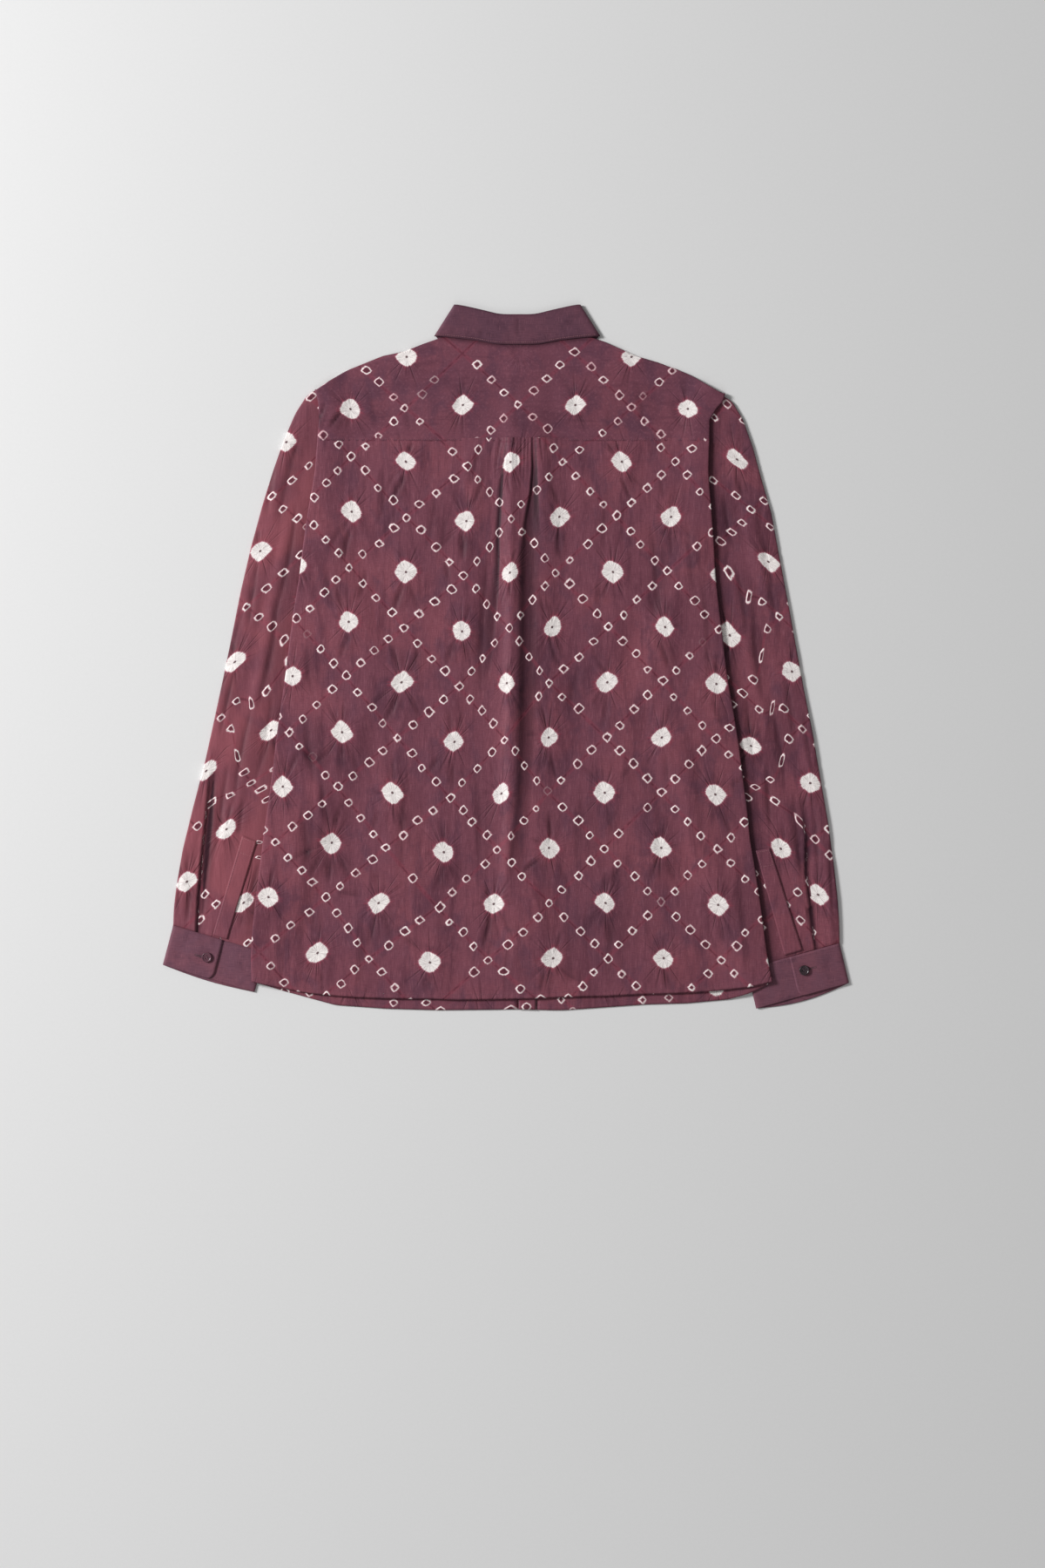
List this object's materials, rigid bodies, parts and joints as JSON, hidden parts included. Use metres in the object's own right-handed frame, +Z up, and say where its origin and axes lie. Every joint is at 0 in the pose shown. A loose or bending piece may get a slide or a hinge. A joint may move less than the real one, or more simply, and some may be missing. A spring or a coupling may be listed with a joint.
{
  "type": "silk shirt laid face down",
  "caption": "Long-sleeved silk shirt lying face down, sleeves folded down beside the body, back gathered under the yoke, tie-dyed rings and spots, plain collar and cuffs.",
  "frame": {"origin": "middle of the laid shirt's outline, on the surface that it lies on", "axes": "+Y towards the collar, +X to the right seen from above, towards the right sleeve, +Z up from the surface"},
  "size_m": [0.7878, 0.8094, 0.0082],
  "materials": {
    "printed_silk": "tie-dyed plum silk, fine slubby weave, soft sheen",
    "plain_silk": "plain plum silk, fine weave, soft sheen",
    "plum_button": "polished, plum",
    "dark_button": "polished, nearly black"
  },
  "bodies": {
    "root": {"back": "printed_silk", "yoke": "printed_silk", "front_left": "printed_silk", "front_right": "printed_silk", "placket_front": "printed_silk", "button_band": "printed_silk", "sleeve_left": "printed_silk", "sleeve_right": "printed_silk", "sleeve_placket_left": "printed_silk", "sleeve_placket_right": "printed_silk", "collar_fall": "plain_silk", "collar_stand": "plain_silk", "cuff_left": "plain_silk", "cuff_right": "plain_silk", "button_cuff_left": "plum_button", "button_cuff_right": "dark_button", "button_front_1": "plum_button", "button_front_2": "plum_button", "button_front_3": "plum_button", "button_front_4": "plum_button", "button_front_5": "plum_button", "button_front_6": "plum_button"}
  },
  "joints": []
}
